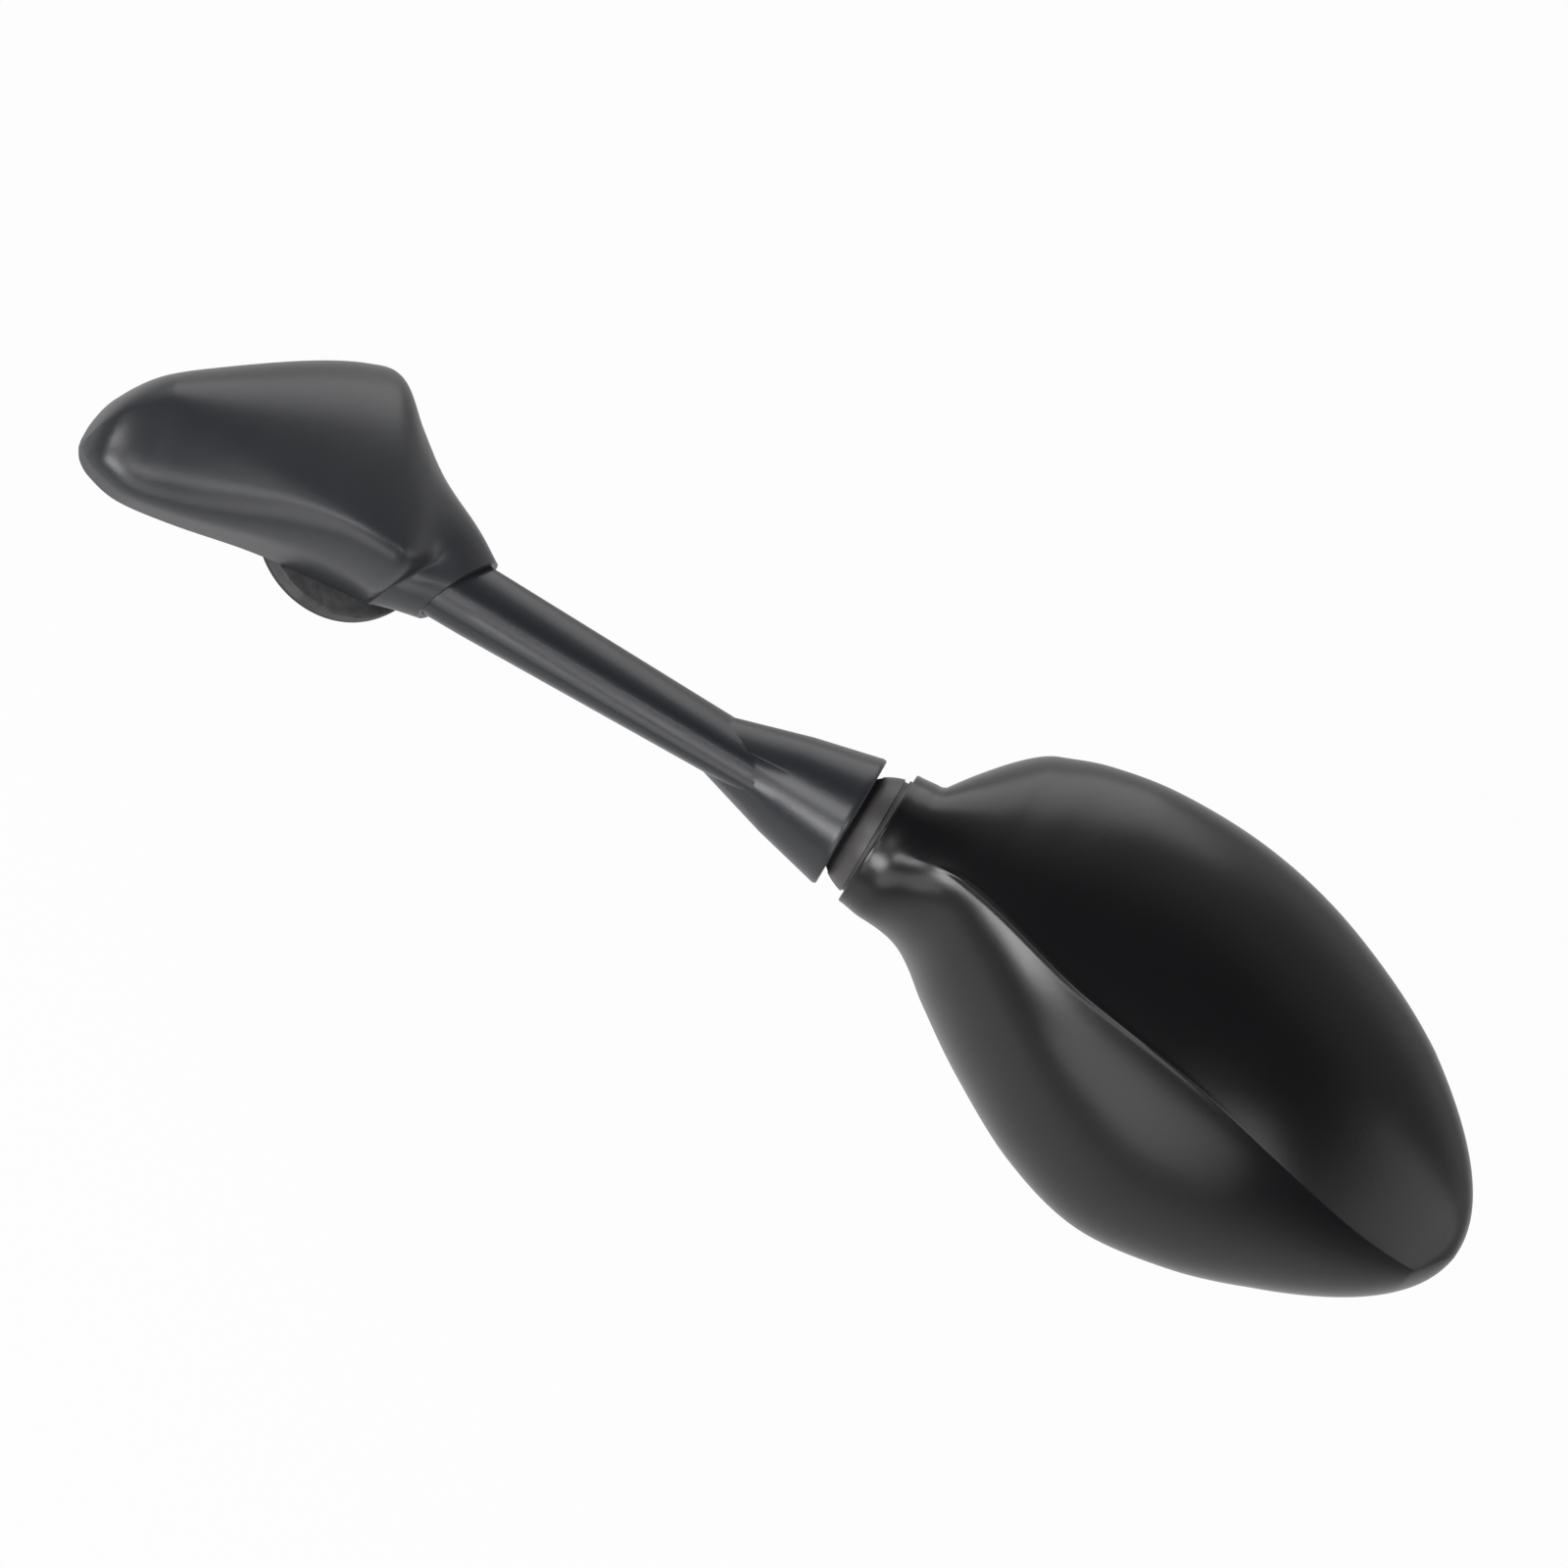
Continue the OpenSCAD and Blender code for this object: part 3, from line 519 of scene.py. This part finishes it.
arm.data.materials.append(
    coat.surface(
        Base_Color=(0.022, 0.023, 0.027, 1),
        Roughness=coat.ramp(flow, (0.3, 0.28), (0.7, 0.32)),
        Normal=coat.bump(grain, 0.10, 0.0002),
    )
)
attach(arm, "folding_arm")
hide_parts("arm")


# Boot: a soft moulded cover over the fold pivot. Its hem follows the fairing and its collar
# grips the stem. Satin black elastomer.
boot_len, boot_narrow, boot_broad, boot_top, boot_wall, collar_r = 95, 9, 44, 33.93, 1.9, 9.3
skirt_z, stem_gap = 6.0, 0.15
# Shares of the sizes above: station, reach of the near and of the far side, height of the crown.
boot_rows = [
    (0.000, 0.11, 0.02, 0.16),
    (0.013, 0.42, 0.14, 0.32),
    (0.047, 0.70, 0.29, 0.44),
    (0.126, 0.96, 0.48, 0.54),
    (0.263, 0.92, 0.67, 0.66),
    (0.442, 0.72, 0.88, 0.85),
    (0.568, 0.66, 0.99, 0.96),
    (0.647, 0.65, 1.00, 1.00),
    (0.716, 0.65, 0.81, 1.00),
    (0.800, 0.68, 0.59, 0.97),
    (0.884, 0.90, 0.46, 0.93),
    (1.000, 1.00, 0.36, 0.88),
]
boot_back, boot_side, boot_turn = 0.6737, 9.6, math.radians(12)
collar_x, collar_slant, collar_blend = boot_len * 0.259, (0.46, -0.22), 0.7
collar_flare, collar_lip, collar_turn, collar_done = 14, 7, 0.3, 0.9
crest_side, crest_run, edge_out, edge_height = (10, -4), (15, 60), 0.5, 0.45
bulge, bulge_run = 2.0, (0.53, 0.26)
arm_frame_mm = MM.inverted() @ arm_frame


def along(rows, column, place):
    """A column's value on a smooth curve through the rows, at a place from 0 to 1."""
    last = len(rows) - 1
    reached = min(max(place, 0), 1) * last
    i = min(int(reached), last - 1)
    part = reached - i
    p0, p1, p2, p3 = (rows[min(max(k, 0), last)][column] for k in (i - 1, i, i + 1, i + 2))
    slope, bend, twist = p2 - p0, 2 * p0 - 5 * p1 + 4 * p2 - p3, 3 * (p1 - p2) + p3 - p0
    return p1 + 0.5 * part * (slope + part * (bend + part * twist))


def even_points(path, count):
    """The same path as evenly spaced points, from its first to its last."""
    lengths = [0.0]
    for a, b in zip(path, path[1:]):
        lengths.append(lengths[-1] + (b - a).length)
    even, leg = [], 0
    for i in range(count):
        target = lengths[-1] * i / (count - 1)
        while leg < len(path) - 2 and lengths[leg + 1] < target:
            leg += 1
        part = (target - lengths[leg]) / max(lengths[leg + 1] - lengths[leg], 1e-9)
        even.append(path[leg].lerp(path[leg + 1], min(part, 1)))
    return even


def boot_side_wall(crown, edge, hem, count):
    """From the crown down a broad roll to the near edge, and down the steep side to the hem."""
    roll = [
        Vector((mix(crown.x, edge.x, math.sin(turn)), mix(edge.y, crown.y, math.cos(turn))))
        for turn in spread(0, math.pi / 2, 24)
    ]
    even = even_points(roll + [hem], count)
    for _ in range(2):
        neighbours = zip(even, even[1:], even[2:])
        between = [(before + point * 2 + after) / 4 for before, point, after in neighbours]
        even = [even[0]] + between + [even[-1]]
    return even


def boot_section(place, inset=0.0, floor_z=skirt_z, points=112):
    """The boot's outline across, from the tail at 0 to the collar round the stem at 1.

    s runs along the boot, w across it and z up, in millimetres.
    """
    s = boot_len * along(boot_rows, 0, place)
    narrow = max(boot_narrow * along(boot_rows, 1, place) - inset, 0.5)
    broad = max(boot_broad * along(boot_rows, 2, place) - inset, 0.5)
    crown = mix(skirt_z, boot_top, along(boot_rows, 3, place)) - inset
    side = min(mix(*crest_side, (s - crest_run[0]) / crest_run[1]), broad / 2)
    into_collar = min(max((s / boot_len - collar_blend) / (1 - collar_blend), 0), 1)
    blend = smooth(into_collar / collar_done)
    half = points // 2
    edge_w = -narrow - edge_out - bulge * eased(s / boot_len, *bulge_run)
    edge = Vector((edge_w, mix(skirt_z, crown, edge_height)))
    wall = boot_side_wall(Vector((side, crown)), edge, Vector((-narrow, skirt_z)), half - half // 2 + 1)
    section = []
    for i in range(points):
        angle = math.pi * i / half
        if i <= half // 2:
            w, z = side + (broad - side) * math.cos(angle), skirt_z + (crown - skirt_z) * math.sin(angle)
        elif i <= half:
            w, z = wall[i - half // 2]
        else:
            w, z = mix(-narrow, broad, (i - half - 1) / (half - 2)), floor_z
        back, out = s - boot_back * boot_len, w - boot_side
        cap = Vector((
            back * math.cos(boot_turn) - out * math.sin(boot_turn),
            back * math.sin(boot_turn) + out * math.cos(boot_turn),
            z,
        ))
        radius = collar_r - inset
        far_side = smooth((math.cos(angle) + collar_turn) / (1 + collar_turn))
        radius += collar_flare * (1 - into_collar) * far_side
        radius += collar_lip * (1 - into_collar) * smooth(-math.cos(angle))
        y = radius * math.cos(angle - math.radians(head_roll))
        h = radius * math.sin(angle - math.radians(head_roll))
        x = collar_x + s - boot_len + collar_slant[0] * y + collar_slant[1] * h
        section.append(mix(cap, arm_frame_mm @ Vector((x, y, h)), blend))
    return section


hollow_from, hollow_to, through_hem, through_collar = 0.06, 0.93, 4, 15
hollow_places = spread(hollow_from, hollow_to, 80)
boot_hollow = [boot_section(place, boot_wall, skirt_z - through_hem) for place in hollow_places]
passage_stations = spread(stem_from, collar_x + through_collar, 30)
stem_passage = [stem_section(x, stem_gap) for x in passage_stations]
boot = piece("pivot_boot", loft([boot_section(place) for place in spread(0, 1, 160)], MM))
carve(boot, "DIFFERENCE", loft(boot_hollow, MM), loft(stem_passage, arm_frame))
smoothed(boot, 40)
elastomer = Finish("satin_black_elastomer")
pores = elastomer.noise(2600, 2)
bloom = elastomer.noise(28, 5, 0.6)
boot.data.materials.append(
    elastomer.surface(
        Base_Color=elastomer.mix(bloom, (0.026, 0.027, 0.031), (0.038, 0.039, 0.044)),
        Roughness=elastomer.ramp(bloom, (0.3, 0.30), (0.7, 0.37)),
        Normal=elastomer.bump(pores, 0.12, 0.0002),
    )
)
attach(boot, "folding_arm")
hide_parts("base_boot")


# Ball joint: a turned steel stud screwed into the arm, a nylon liner round its ball, and a round
# acetal shield that closes the gap between the flare and the neck.
neck_gap, ball_depth, shield_r, shield_wall, snap_gap = 6.5, 2.5, 14.3, 1.6, 0.06
shield_mouth_r, shield_seat_r = 7.6, 8.2
ball_x = arm_len + neck_gap + ball_depth
ball_frame = arm_frame @ Matrix.Translation((ball_x, 0, 0))
shield_front, shield_back = 0.8 - ball_depth, arm_len - ball_x + 0.9
step_x, end_x = arm_len - 0.7 - ball_x, arm_len - flare_depth - ball_x + 0.2
dressed(plain_steel, "ball_stud")
dressed(moulded("natural_nylon", (0.80, 0.78, 0.72), (0.76, 0.74, 0.67), 0.36, 0.46), "ball_liner")


def dome(radius, start, end, steps):
    """Points of a circle round the ball's centre between two heights."""
    return [(math.sqrt(radius * radius - h * h), h) for h in spread(start, end, steps)]


shield_back_r = math.sqrt(shield_r ** 2 - shield_back ** 2)
groove, groove_r = -ball_depth - 0.6, shield_r - 0.9
shield = piece("round_shield", turned_part(
    [(shield_back_r - 0.35, shield_back - 0.1)]
    + dome(shield_r, shield_back + 0.2, groove - 0.5, 16)
    + [(groove_r, groove - 0.45), (groove_r, groove + 0.45)]
    + dome(shield_r, groove + 0.5, shield_front - 0.25, 8)
    + [(shield_r - 0.45, shield_front), (shield_r - shield_wall, shield_front)]
    + dome(shield_r - shield_wall, shield_front - 0.2, shield_back + shield_wall, 16)
    + [
        (shield_mouth_r, shield_back + shield_wall), (shield_mouth_r, step_x),
        (boss_out + snap_gap, step_x), (boss_out + snap_gap, end_x), (shield_seat_r, end_x),
        (shield_seat_r, shield_back - 1.2), (shield_back_r - 1.2, shield_back - 1.2),
        (shield_back_r - 0.35, shield_back - 0.1),
    ],
    ball_frame @ LAY,
))
smoothed(shield, 30)
acetal = Finish("black_acetal")
rub = acetal.noise(160, 4, 0.6)
shield.data.materials.append(
    acetal.surface(
        Base_Color=acetal.mix(rub, (0.048, 0.045, 0.047), (0.066, 0.062, 0.064)),
        Roughness=acetal.ramp(rub, (0.3, 0.36), (0.7, 0.48)),
        Normal=acetal.bump(acetal.noise(1500, 2), 0.12, 0.0002),
    )
)
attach(shield, "shield")
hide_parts("joint_shield")


# Head shell: injection-moulded black plastic with a ridge from the neck to the tip. The real one is
# hollow, open at the glass side, and bored in the neck for the ball joint's seat. This one comes out
# solid, for the reason given at its cuts.
head_len, head_upper, head_lower, head_crown, rim_depth = 153, 51, 39.2, 22.5, 20
neck_r, shell_wall, rim_wall_h, rim_round, head_turn, head_sweep = 16.5, 2.4, 3, 1.0, 2, 6
neck_frame = ball_frame @ Matrix.Rotation(math.radians(-head_turn), 4, "Z")
head_frame = (
    neck_frame
    @ Matrix.Translation((-ball_depth, 0, 0))
    @ Matrix.Rotation(math.radians(-head_sweep), 4, "Z")
)
# Shares of the sizes above: station, reach of the upper and of the lower edge, height of the
# ridge; and last the ridge's sharpness.
head_rows = [
    (0.000, 0.52, 0.41, 0.84, 0.00),
    (0.066, 0.63, 0.40, 0.86, 0.16),
    (0.131, 0.745, 0.43, 0.90, 0.26),
    (0.197, 0.848, 0.57, 0.95, 0.30),
    (0.295, 0.94, 0.755, 0.99, 0.28),
    (0.426, 0.99, 0.94, 1.00, 0.25),
    (0.557, 0.97, 1.00, 0.96, 0.22),
    (0.689, 0.88, 0.87, 0.86, 0.20),
    (0.800, 0.755, 0.665, 0.70, 0.18),
    (0.892, 0.593, 0.42, 0.51, 0.15),
]
rows_end, tip_from, tip_middle, tip_crown, crown_fall, sharp_fall = 0.75, 2 / 3, 6.2, 0.07, 1.1, 0.6
# The ridge's place beside the centre line at the neck, in the middle and at the tip. A run is where
# a change begins and how far it goes on, in millimetres from the neck. By the tip the ridge is back
# at half the width, and that run is in shares of the way.
ridge_side, ridge_early, ridge_late = (4.2, 1, -3), (22, 36), (75, 70)
ridge_least, least_run = (0.15, 0.5), (0.8, 0.2)
# A low bead along the first half of the ridge, where the lower flank is also rounder than the upper
# one. The crowding brings the points of an outline closer together at the ridge.
bead_h, bead_w, bead_run, lower_sharp, even_run, crowding = 0.4, 0.6, (10, 14), 0.55, (45, 60), 0.38
# The neck tapers slightly to its rounded mouth. It grows into the head over a run, which starts
# later at the upper shoulder and is steeper there.
mouth_taper, mouth_len, mouth_round, neck_keep = 0.6, 6, 0.3, 4.5
shoulder_focus, shoulder_late, shoulder_run, shoulder_start = 1.5, 1.96, (17.5, 13.2), (1, 0.5)


def head_shape(place):
    """Station, reach of the upper and the lower edge, share of the ridge's height, its sharpness."""
    shares = [along(head_rows, column, min(place, tip_from) / rows_end) for column in range(5)]
    s, upper, lower = head_len * shares[0], head_upper * shares[1], head_lower * shares[2]
    if place <= tip_from:
        return s, upper, lower, shares[3], shares[4]
    left = (1 - place) / (1 - tip_from)
    half = (upper + lower) / 2 * left
    middle = mix(tip_middle, (upper - lower) / 2, left * left)
    return (
        head_len - (head_len - s) * left * left, middle + half, half - middle,
        mix(tip_crown, shares[3], left ** crown_fall), shares[4] * left ** sharp_fall,
    )


def head_section(place, inset=0.0, floor_z=-rim_depth, points=160):
    """The head's outline across, from the neck's mouth at 0 to the tip at 1, ridge side first.

    s runs along the head, w across it and z up to the ridge, in millimetres.
    """
    s, upper, lower, crown, sharp = head_shape(place)
    upper, lower = upper - inset, lower - inset
    rim = rim_wall_h - rim_depth
    ridge = mix(rim, head_crown, crown) - inset
    side = mix(mix(*ridge_side[:2], eased(s, *ridge_early)), ridge_side[2], eased(s, *ridge_late))
    side *= smooth((1 - place) / (1 - tip_from))
    side = max(side, mix(-lower, upper, mix(*ridge_least, eased(place, *least_run))))
    tube_r = neck_r - inset - mouth_taper * (1 - smooth(s / mouth_len))
    tube_r -= mouth_round * max(0, 1 - s / mouth_round) ** 2
    sweep = math.radians(head_sweep)
    bead = 0.0 if inset else bead_h * eased(s, *bead_run) * (1 - eased(s, *even_run))
    half = points * 5 // 8
    section = []
    for i in range(points):
        if i <= half:
            t = i / half
            angle = math.pi * t + crowding * math.sin(math.tau * t)
            reach = upper - side if math.cos(angle) > 0 else lower + side
            w = side + reach * math.cos(angle)
            keen = sharp if math.cos(angle) > 0 else sharp * mix(lower_sharp, 1, eased(s, *even_run))
            z = rim + (ridge - rim) * math.sin(angle) * (1 - keen * abs(math.cos(angle)))
            z += bead * math.exp(-((w - side) / bead_w) ** 2)
        else:
            angle = math.pi + math.pi * (i - half) / (points - half)
            t = (1 - math.cos(math.pi * (i - half - 1) / (points - half - 2))) / 2
            w, z = mix(-lower, upper, t), floor_z
            if not inset:
                edge = max(min(w + lower, upper - w, rim_round), 0)
                z += rim_round - math.sqrt(rim_round ** 2 - (rim_round - edge) ** 2)
        y, h = tube_r * math.cos(angle), tube_r * math.sin(angle)
        shoulder = max(math.cos(angle), 0) ** shoulder_focus
        grown = (s - neck_keep - shoulder_late * shoulder) / mix(*shoulder_run, shoulder)
        blend = smooth(min(max(grown, 0), 1) ** mix(*shoulder_start, shoulder))
        tube = Vector((
            s * math.cos(sweep) - y * math.sin(sweep), s * math.sin(sweep) + y * math.cos(sweep), h
        ))
        section.append(mix(tube, Vector((s, w, z)), blend))
    return section


oval_place, oval_reach = 0.24, 15.5


def relaxed(ring, passes):
    """A closed ring of points, each drawn towards its neighbours."""
    for _ in range(passes):
        after = ring[1:] + ring[:1]
        ring = [(ring[i - 1] + point * 2 + after[i]) / 4 for i, point in enumerate(ring)]
    return ring


def rim_ring(inset, z, shrink=1.0, points=240):
    """The open rim's outline set in by a distance, at a depth, as evenly spaced points."""
    sides = [head_shape(place) for place in spread(oval_place, 1, 120)]
    closed = [Vector((s, upper)) for s, upper, *_ in sides]
    closed += [Vector((s, -lower)) for s, _, lower, *_ in sides[-2::-1]]
    s, upper, lower, *_ = sides[0]
    for angle in spread(0, math.pi, 30)[1:]:
        w = (upper - lower) / 2 - (upper + lower) / 2 * math.cos(angle)
        closed.append(Vector((s - oval_reach * math.sin(angle), w)))
    even = relaxed(even_points(closed, points + 1)[:-1], 6)
    moved = []
    for i in range(points):
        edge = (even[(i + 1) % points] - even[i - 1]).normalized()
        moved.append(even[i] + Vector((edge.y, -edge.x)) * inset)
    moved = relaxed(moved, 3)
    middle = sum(moved, Vector((0, 0))) / points
    return [Vector((*mix(middle, point, shrink), z)) for point in moved]


bore_r, bore_lead, bore_past, bore_end = shield_r + 0.35, 0.35, 10, 22
seat_hole_r, cup_hole_r = 10.46, 12.12
web_x, web_t, plug_wall, plug_from, plug_to = 2.2, 2, 2.28, 0.4, 19.7
glass_set_back, glass_t, foam_t, carrier_t = 0.8, 2.4, 1.0, 1.6
glass_front = glass_set_back - rim_depth
glass_back = glass_front + glass_t
foam_back = glass_back + foam_t
carrier_back = foam_back + carrier_t
outer = [head_section(place) for place in [0, 0.0015, 0.003] + spread(0.005, 1, 170)]
hollow = [head_section(place, shell_wall, 1 - rim_depth) for place in spread(0.11, 0.92, 90)]
# At the tip the outer skin narrows to a line, which leaves edges with one or three faces. Blender
# refuses the cuts and the union below on such a skin, so the shell stays solid and hides the glass.
shell = piece("head_shell", loft(outer, head_frame))
carve(shell, "DIFFERENCE", loft(hollow, head_frame))
plug = piece("plug", rod(cup_hole_r + plug_wall, plug_from, plug_to, neck_frame @ LAY))
carve(plug, "INTERSECT", loft([head_section(place) for place in spread(0, 0.4, 40)], head_frame))
plug_bm = bmesh.new()
plug_bm.from_mesh(plug.data)
bpy.data.objects.remove(plug)
carve(shell, "UNION", plug_bm)
carve(
    shell,
    "DIFFERENCE",
    loft(
        [
            rim_ring(shell_wall - 0.5, -rim_depth - 1), rim_ring(shell_wall - 0.5, -rim_depth),
            rim_ring(shell_wall, -rim_depth + 0.5), rim_ring(shell_wall, carrier_back),
        ],
        head_frame,
    ),
    turned_part(
        [
            (0, -bore_past), (bore_r + bore_lead, -bore_past), (bore_r + bore_lead, 0.1 - ball_depth),
            (bore_r, 0.1 + bore_lead - ball_depth),
            (bore_r, web_x), (seat_hole_r, web_x), (seat_hole_r, web_x + web_t),
            (cup_hole_r, web_x + web_t), (cup_hole_r, bore_end), (0, bore_end),
        ],
        neck_frame @ LAY,
    ),
)
smoothed(shell, 40)
plastic = Finish("moulded_black_plastic")
fine = plastic.noise(1800, 2)
waves = plastic.noise(22, 3)
shell.data.materials.append(
    plastic.surface(
        Base_Color=(0.007, 0.007, 0.008, 1),
        Roughness=plastic.ramp(waves, (0.3, 0.23), (0.7, 0.29)),
        Normal=plastic.bump(fine, 0.06, 0.0002),
    )
)
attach(shell, "head")
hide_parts("housing")


# Spring seat in the neck: a seat ring and a cup of glass-filled nylon hold the ball, and a coil
# spring against a bent steel plate presses them together.
dark_nylon, pale_nylon = (0.040, 0.040, 0.043), (0.062, 0.062, 0.066)
filled_nylon = moulded("glass_filled_nylon", dark_nylon, pale_nylon, 0.42, 0.55)
dressed(filled_nylon, "seat_ring", "pressure_cup")
dressed(metal("spring_wire", (0.42, 0.43, 0.45), (0.34, 0.35, 0.37), 0.20, 0.32), "cup_spring")
dressed(zinc, "spring_plate", "plate_screws", "carrier_screws")


# Glass: a bevelled, slightly convex mirror stuck with foam to a carrier plate that four screws
# hold in the housing, with a rubber gasket round its edge.
gasket_inset, gasket_wall, lip_t, lip_reach = shell_wall + 0.15, 1.8, 0.5, 1.4
glass_bulge, bevel = 0.55, (0.45, 0.4)
glass_edge = gasket_inset + gasket_wall + 0.1
plate = moulded("black_moulded_plate", (0.034, 0.034, 0.037), (0.048, 0.048, 0.052), 0.44, 0.56)
dressed(plate, "glass_carrier")
foam = moulded("adhesive_foam", (0.10, 0.10, 0.104), (0.15, 0.15, 0.155), 0.80, 0.92, 900.0)
dressed(foam, "foam_pad")
face = [
    rim_ring(glass_edge + bevel[0], glass_front - glass_bulge * (1 - reach * reach), reach)
    for reach in spread(0.04, 1, 24)
]
edge = [rim_ring(glass_edge, glass_front + bevel[1]), rim_ring(glass_edge, glass_back)]
glass = piece("mirror_glass", loft(face + edge, head_frame))
smoothed(glass, 25)
silver = Finish("silvered_glass")
haze = silver.noise(60, 4)
glass.data.materials.append(
    silver.surface(
        Base_Color=(0.86, 0.88, 0.89, 1), Metallic=1.0,
        Roughness=silver.ramp(haze, (0.3, 0.02), (0.7, 0.035)),
    )
)
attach(glass, "head")
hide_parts("mirror_glass")

lip_front = glass_front - lip_t
gasket_inner = gasket_inset + gasket_wall
lip_end = gasket_inner + lip_reach
gasket_edge = [
    (gasket_inset, foam_back), (gasket_inset, lip_front + 0.5), (gasket_inset + 0.15, lip_front + 0.15),
    (gasket_inset + 0.5, lip_front), (lip_end - 0.7, lip_front + 0.04), (lip_end - 0.2, lip_front + 0.2),
    (lip_end, lip_front + 0.47), (gasket_inner, glass_front), (gasket_inner, foam_back),
]
gasket_rings = [rim_ring(inset, z) for inset, z in gasket_edge]
gasket = piece("glass_gasket_ring", loft(gasket_rings, head_frame, ring=True))
smoothed(gasket, 50)
gasket.data.materials.append(rubber.material)
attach(gasket, "head")
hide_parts("glass_gasket")
